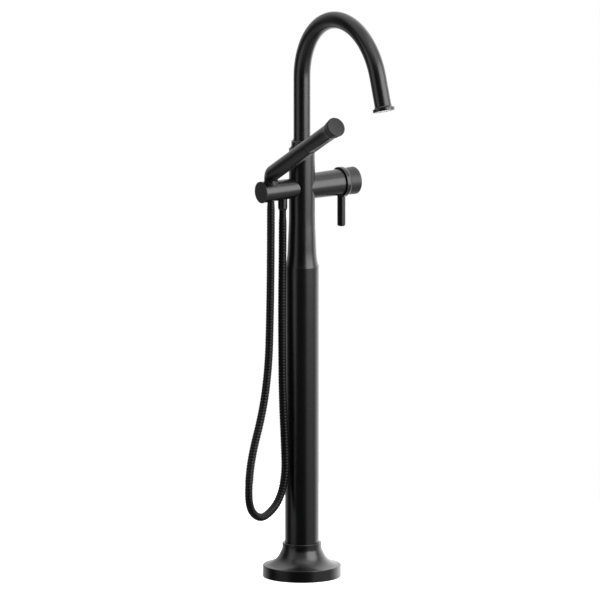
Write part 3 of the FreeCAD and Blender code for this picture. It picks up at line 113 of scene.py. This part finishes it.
def routeLine(points, steps, order=3):
    # points along a NURBS line that starts and ends on its outer control points
    curve = bpy.data.curves.new("routeLine", "CURVE")
    curve.dimensions = "3D"
    curve.resolution_u = steps
    spline = curve.splines.new("NURBS")
    spline.points.add(len(points) - 1)
    spline.points.foreach_set("co", np.column_stack([points, np.ones(len(points))]).ravel())
    spline.order_u = order
    spline.use_endpoint_u = True
    holder = bpy.data.objects.new("routeLine", curve)
    scene.collection.objects.link(holder)
    bpy.context.view_layer.update()
    mesh = bpy.data.meshes.new_from_object(holder)
    line = np.empty(len(mesh.vertices) * 3)
    mesh.vertices.foreach_get("co", line)
    bpy.data.objects.remove(holder)
    bpy.data.meshes.remove(mesh)
    return line.reshape(-1, 3)


def alongLine(line, run, distances):
    # places at given distances along a line of points, by straight interpolation between them
    return np.column_stack([np.interp(distances, run, line[:, k]) for k in range(3)])


def unit(vectors):
    # each vector divided by its own length
    return vectors / np.linalg.norm(vectors, axis=1, keepdims=True)


def ringPoints(middle, side, depth, turn, radius):
    # middle plus the radius times (cosine of the turn along the side plus its sine along the depth)
    return middle[:, None] + radius * (
        np.cos(turn)[None, :, None] * side[:, None] + np.sin(turn)[None, :, None] * depth[:, None])


def gridMesh(name, grid, closedAcross=True, closedAlong=False):
    # quads over a grid of points (rows, columns, 3); the columns join up when closed across,
    # the rows when closed along
    rows, columns = grid.shape[:2]
    a = np.arange(rows if closedAlong else rows - 1)[:, None]
    b = np.arange(columns if closedAcross else columns - 1)[None, :]
    a2, b2 = (a + 1) % rows, (b + 1) % columns
    quads = np.stack([a * columns + b, a * columns + b2, a2 * columns + b2, a2 * columns + b], axis=-1)
    mesh = bpy.data.meshes.new(name)
    mesh.from_pydata(grid.reshape(-1, 3), [], quads.reshape(-1, 4))
    mesh.polygons.foreach_set("use_smooth", np.ones(len(mesh.polygons), bool))
    mesh.update()
    made = bpy.data.objects.new(name, mesh)
    scene.collection.objects.link(made)
    return made


def woundHose(s):
    # tube whose radius is a smooth wave of the distance along it less the turn round it, so one ridge winds
    # from end to end; inside it a plain bore runs back, and the two join at both ends
    line = routeLine(np.array(s["route"]), s["curveSteps"])
    steps = np.linalg.norm(np.diff(line, axis=0), axis=1)
    run, total = np.concatenate([[0], np.cumsum(steps)]), steps.sum()
    rings = int(total / s["pitch"] * s["stepsPerTurn"])
    t = np.linspace(0, total, rings)
    place = alongLine(line, run, t)
    way = unit(alongLine(line, run, t + s["lookAhead"]) - alongLine(line, run, t - s["lookAhead"]))
    side = unit(np.cross((0.0, 1.0, 0.0), way))
    depth = np.cross(way, side)
    turn = np.linspace(0, 2 * np.pi, s["around"], endpoint=False)
    phase = (t[:, None] / s["pitch"] - turn[None, :] / (2 * np.pi)) % 1.0
    # rounded ridge over most of the pitch, narrow groove between two ridges
    ridge = np.clip(np.sin(np.pi * phase) * s["ridgeGain"], 0, 1) ** s["ridgePower"]
    fade = np.clip(np.minimum(t, total - t) / s["plainEnd"] - 1.0, 0, 1)[:, None]
    radius = s["rootRadius"] + (s["crestRadius"] - s["rootRadius"]) * ridge * fade
    outer = ringPoints(place, side, depth, turn, radius[..., None])
    coarse = np.arange(0, rings, s["stepsPerTurn"])
    bored = np.append(coarse, rings - 1)[::-1]      # from the far end back to the start
    inner = ringPoints(place[bored], side[bored], depth[bored], turn, s["boreRadius"])
    hose = gridMesh("showerHose", np.concatenate([outer, inner]), closedAlong=True)
    return hose, np.concatenate([place[:-1:s["pathStride"]], place[-1:]]), total


hose, hoseLine, hoseLength = woundHose(hoseSet)
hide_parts("shower_hose")
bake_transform(hose)
print("hose made:", round(hoseLength, 4), "m")


# Lights, surroundings and floor
lightSet = {
    # turn is degrees from the camera to the right, aim the height that the lamp faces, lengths in metres
    "lamps": [
        dict(name="rightSoftbox", turn=58, distance=1.7, height=1.3, aim=1.3,
             width=1.8, tall=1.7, watts=55),
        dict(name="lowRightSoftbox", turn=58, distance=1.7, height=-0.08, aim=-0.08,
             width=1.8, tall=1.05, watts=4),
        dict(name="leftSoftbox", turn=-60, distance=1.6, height=0.75, aim=0.75,
             width=1.2, tall=1.9, watts=8),
        dict(name="topSoftbox", turn=60, distance=1.0, height=2.3, aim=0.9,
             width=1.6, tall=1.0, watts=7),
    ],
    "elsewhere": 0.006,         # brightness of the surroundings outside every patch
    # soft patches of the surroundings: where they lie as turn and rise in degrees, the cosine at which each
    # starts and is full, and how bright it is
    "patches": [
        dict(name="behind", turn=180, rise=0, start=0.30, full=0.70, brightness=0.75),
        dict(name="rightBehind", turn=140, rise=0, start=0.55, full=0.97, brightness=1.9),
        dict(name="above", turn=0, rise=90, start=0.42, full=0.90, brightness=1.3),
        dict(name="below", turn=0, rise=-90, start=0.25, full=0.75, brightness=0.38),
    ],
}


def fromCamera(turn, rise=0):
    # direction from the object that is turned and raised from the level direction to the camera
    a = math.radians(cameraSet["azimuth"])
    front = Vector((math.sin(a), -math.cos(a), 0))
    across = Vector((math.cos(a), math.sin(a), 0))
    level = front * math.cos(math.radians(turn)) + across * math.sin(math.radians(turn))
    return level * math.cos(math.radians(rise)) + Vector((0, 0, math.sin(math.radians(rise))))


def softbox(name, turn, distance, height, aim, width, tall, watts):
    data = bpy.data.lights.new(name, "AREA")
    data.shape = "RECTANGLE"
    data.size, data.size_y = width, tall
    data.energy = watts
    lamp = bpy.data.objects.new(name, data)
    place = fromCamera(turn) * distance + Vector((0, 0, height))
    lamp.location = place
    lamp.rotation_euler = (place - Vector((0, 0, aim))).to_track_quat("Z", "Y").to_euler()
    lamp.visible_camera = False
    scene.collection.objects.link(lamp)


for lampSet in lightSet["lamps"]:
    softbox(**lampSet)


def whiteSurroundings(s):
    # white to the camera; what lights the object and shows in its finish is a dim room with soft patches,
    # each a smooth step of the cosine between a direction and the patch's own
    world = bpy.data.worlds.new("whiteSurroundings")
    world.use_nodes = True
    scene.world = world
    nodes, links = world.node_tree.nodes, world.node_tree.links
    nodes.clear()
    way = nodes.new("ShaderNodeTexCoord")
    total = None
    for patch in s["patches"]:
        dot = nodes.new("ShaderNodeVectorMath")
        dot.name = patch["name"]
        dot.operation = "DOT_PRODUCT"
        dot.inputs[1].default_value = fromCamera(patch["turn"], patch["rise"])
        links.new(way.outputs["Generated"], dot.inputs[0])
        span = nodes.new("ShaderNodeMapRange")
        span.interpolation_type = "SMOOTHSTEP"
        span.inputs["From Min"].default_value = patch["start"]
        span.inputs["From Max"].default_value = patch["full"]
        span.inputs["To Min"].default_value = s["elsewhere"] / len(s["patches"])
        span.inputs["To Max"].default_value = patch["brightness"]
        links.new(dot.outputs["Value"], span.inputs["Value"])
        if total is None:
            total = span.outputs["Result"]
        else:
            plus = nodes.new("ShaderNodeMath")
            links.new(total, plus.inputs[0])
            links.new(span.outputs["Result"], plus.inputs[1])
            total = plus.outputs[0]
    lit = nodes.new("ShaderNodeBackground")
    links.new(total, lit.inputs["Strength"])
    seen = nodes.new("ShaderNodeBackground")
    seen.inputs["Strength"].default_value = 1.0
    for background in (lit, seen):
        background.inputs["Color"].default_value = (1, 1, 1, 1)
    path = nodes.new("ShaderNodeLightPath")
    mix = nodes.new("ShaderNodeMixShader")
    links.new(path.outputs["Is Camera Ray"], mix.inputs[0])
    links.new(lit.outputs[0], mix.inputs[1])
    links.new(seen.outputs[0], mix.inputs[2])
    out = nodes.new("ShaderNodeOutputWorld")
    links.new(mix.outputs[0], out.inputs["Surface"])


whiteSurroundings(lightSet)


floorSet = {
    "radius": 0.9,
    "rings": (1.0, 0.3, 0.001),     # parts of the radius, from the rim to the middle
    "corners": 96,
    "drop": 0.0003,                 # below the object's foot
    "grey": 0.82,
    "roughness": 0.9,
    "glow": 0.70,                   # own light, so that only the shadow shows against the white
}


def paleFloor(s):
    # disc just under the object, of rings of points: cosine and sine of the turn times the radius; only the
    # camera sees it, and the object's own reflections go past it into the surroundings
    turn = np.linspace(0, 2 * np.pi, s["corners"], endpoint=False)
    rim = np.stack([np.cos(turn), np.sin(turn), np.zeros(s["corners"])], axis=1) * s["radius"]
    grid = np.stack([rim * part for part in s["rings"]]) + (0, 0, -s["drop"])
    floor = gridMesh("paleFloor", grid[::-1])
    material = bpy.data.materials.new("paleFloor")
    material.use_nodes = True
    nodes, links = material.node_tree.nodes, material.node_tree.links
    shader = nodes["Principled BSDF"]
    shader.inputs["Base Color"].default_value = (s["grey"], s["grey"], s["grey"], 1)
    shader.inputs["Roughness"].default_value = s["roughness"]
    shader.inputs["Emission Color"].default_value = (1, 1, 1, 1)
    shader.inputs["Emission Strength"].default_value = s["glow"]
    clear = nodes.new("ShaderNodeBsdfTransparent")
    path = nodes.new("ShaderNodeLightPath")
    mix = nodes.new("ShaderNodeMixShader")
    links.new(path.outputs["Is Camera Ray"], mix.inputs[0])
    links.new(clear.outputs[0], mix.inputs[1])
    links.new(shader.outputs[0], mix.inputs[2])
    links.new(mix.outputs[0], nodes["Material Output"].inputs["Surface"])
    floor.data.materials.append(material)


paleFloor(floorSet)
print("floor and lights made")


# Finishes; the two grained blacks are for the flat ends, which shine less
def grainGroup():
    # fine even grain: noise at a given size put out as a height, with a slow change of tone and gloss
    group = bpy.data.node_groups.new("fineGrain", "ShaderNodeTree")
    for name, value in (("Grain per metre", 1800.0), ("Patch per metre", 14.0), ("Roughness", 0.3),
                        ("Roughness change", 0.04)):
        socket = group.interface.new_socket(name, in_out="INPUT", socket_type="NodeSocketFloat")
        socket.default_value = value
    for name, direction in (("Tone", "OUTPUT"), ("Dark", "INPUT"), ("Light", "INPUT")):
        group.interface.new_socket(name, in_out=direction, socket_type="NodeSocketColor")
    for name in ("Roughness", "Height"):
        group.interface.new_socket(name, in_out="OUTPUT", socket_type="NodeSocketFloat")
    nodes, links = group.nodes, group.links
    given, out = nodes.new("NodeGroupInput"), nodes.new("NodeGroupOutput")
    where = nodes.new("ShaderNodeTexCoord")
    grain = nodes.new("ShaderNodeTexNoise")
    grain.inputs["Detail"].default_value = 2.0
    patch = nodes.new("ShaderNodeTexNoise")
    patch.inputs["Detail"].default_value = 3.0
    for node, rate in ((grain, "Grain per metre"), (patch, "Patch per metre")):
        links.new(where.outputs["Object"], node.inputs["Vector"])
        links.new(given.outputs[rate], node.inputs["Scale"])
    tone = nodes.new("ShaderNodeMix")
    tone.data_type = "RGBA"
    links.new(patch.outputs["Fac"], tone.inputs["Factor"])
    links.new(given.outputs["Dark"], tone.inputs["A"])
    links.new(given.outputs["Light"], tone.inputs["B"])
    links.new(tone.outputs["Result"], out.inputs["Tone"])
    centred = nodes.new("ShaderNodeMath")
    centred.operation = "SUBTRACT"
    centred.inputs[1].default_value = 0.5
    links.new(patch.outputs["Fac"], centred.inputs[0])
    rough = nodes.new("ShaderNodeMath")
    rough.operation = "MULTIPLY_ADD"
    links.new(centred.outputs[0], rough.inputs[0])
    links.new(given.outputs["Roughness change"], rough.inputs[1])
    links.new(given.outputs["Roughness"], rough.inputs[2])
    links.new(rough.outputs[0], out.inputs["Roughness"])
    links.new(grain.outputs["Fac"], out.inputs["Height"])
    return group


fineGrain = grainGroup()


def finish(name, dark, light, roughness, change=0.05, grain=1800, patch=14, depth=0.00002,
           metallic=0.0, specular=0.5):
    # one material: tone between dark and light, grain and patches per metre, depth of the grain in metres
    material = bpy.data.materials.new(name)
    material.use_nodes = True
    nodes, links = material.node_tree.nodes, material.node_tree.links
    shader = nodes["Principled BSDF"]
    shader.inputs["Metallic"].default_value = metallic
    shader.inputs["Specular IOR Level"].default_value = specular
    node = nodes.new("ShaderNodeGroup")
    node.node_tree = fineGrain
    node.inputs["Dark"].default_value = (*dark, 1)
    node.inputs["Light"].default_value = (*light, 1)
    node.inputs["Roughness"].default_value = roughness
    node.inputs["Roughness change"].default_value = change
    node.inputs["Grain per metre"].default_value = grain
    node.inputs["Patch per metre"].default_value = patch
    bump = nodes.new("ShaderNodeBump")
    bump.inputs["Distance"].default_value = depth
    bump.inputs["Strength"].default_value = 1.0
    links.new(node.outputs["Tone"], shader.inputs["Base Color"])
    links.new(node.outputs["Roughness"], shader.inputs["Roughness"])
    links.new(node.outputs["Height"], bump.inputs["Height"])
    links.new(bump.outputs["Normal"], shader.inputs["Normal"])
    return material


finishes = {
    "satin_black": finish("satinBlack", (0.0018, 0.0018, 0.0019), (0.0025, 0.0025, 0.0026), 0.29),
    "grained_black": finish("grainedBlack", (0.0022, 0.0022, 0.0023), (0.0034, 0.0034, 0.0035), 0.48,
                            grain=900, patch=260, depth=0.00006),
    "grained_cap": finish("grainedCap", (0.0022, 0.0022, 0.0023), (0.0034, 0.0034, 0.0035), 0.48,
                          grain=900, patch=260, depth=0.00006, specular=0.37),
    "black_hose": finish("blackHose", (0.0018, 0.0018, 0.0019), (0.0025, 0.0025, 0.0026), 0.36,
                         specular=0.18),
    "steel": finish("plainSteel", (0.50, 0.51, 0.53), (0.60, 0.61, 0.63), 0.32, metallic=1.0),
    "brass": finish("machinedBrass", (0.66, 0.50, 0.26), (0.76, 0.60, 0.34), 0.28, metallic=1.0),
    "seal_rubber": finish("sealRubber", (0.02, 0.02, 0.02), (0.03, 0.03, 0.03), 0.7),
    "grey_plastic": finish("greyPlastic", (0.05, 0.05, 0.055), (0.07, 0.07, 0.075), 0.5),
    "white_plastic": finish("whitePlastic", (0.78, 0.79, 0.80), (0.84, 0.85, 0.86), 0.4),
    "ceramic": finish("ceramic", (0.82, 0.81, 0.78), (0.88, 0.87, 0.84), 0.15),
    "nozzle_silicone": finish("nozzleSilicone", (0.03, 0.03, 0.032), (0.045, 0.045, 0.048), 0.6),
}

slotOf = {part["node"]: part["material_slot"] for part in frame["record"]["subparts"]}
slotOf["temperature_knob"] = slotOf["cross_bar_cap"] = "grained_black"
slotOf["handset_end_cap"] = "grained_cap"
for node, piece in frame["nodes"].items():
    piece.data.materials.clear()
    piece.data.materials.append(finishes[slotOf[node]])
hose.data.materials.append(finishes["black_hose"])
print("finishes set")
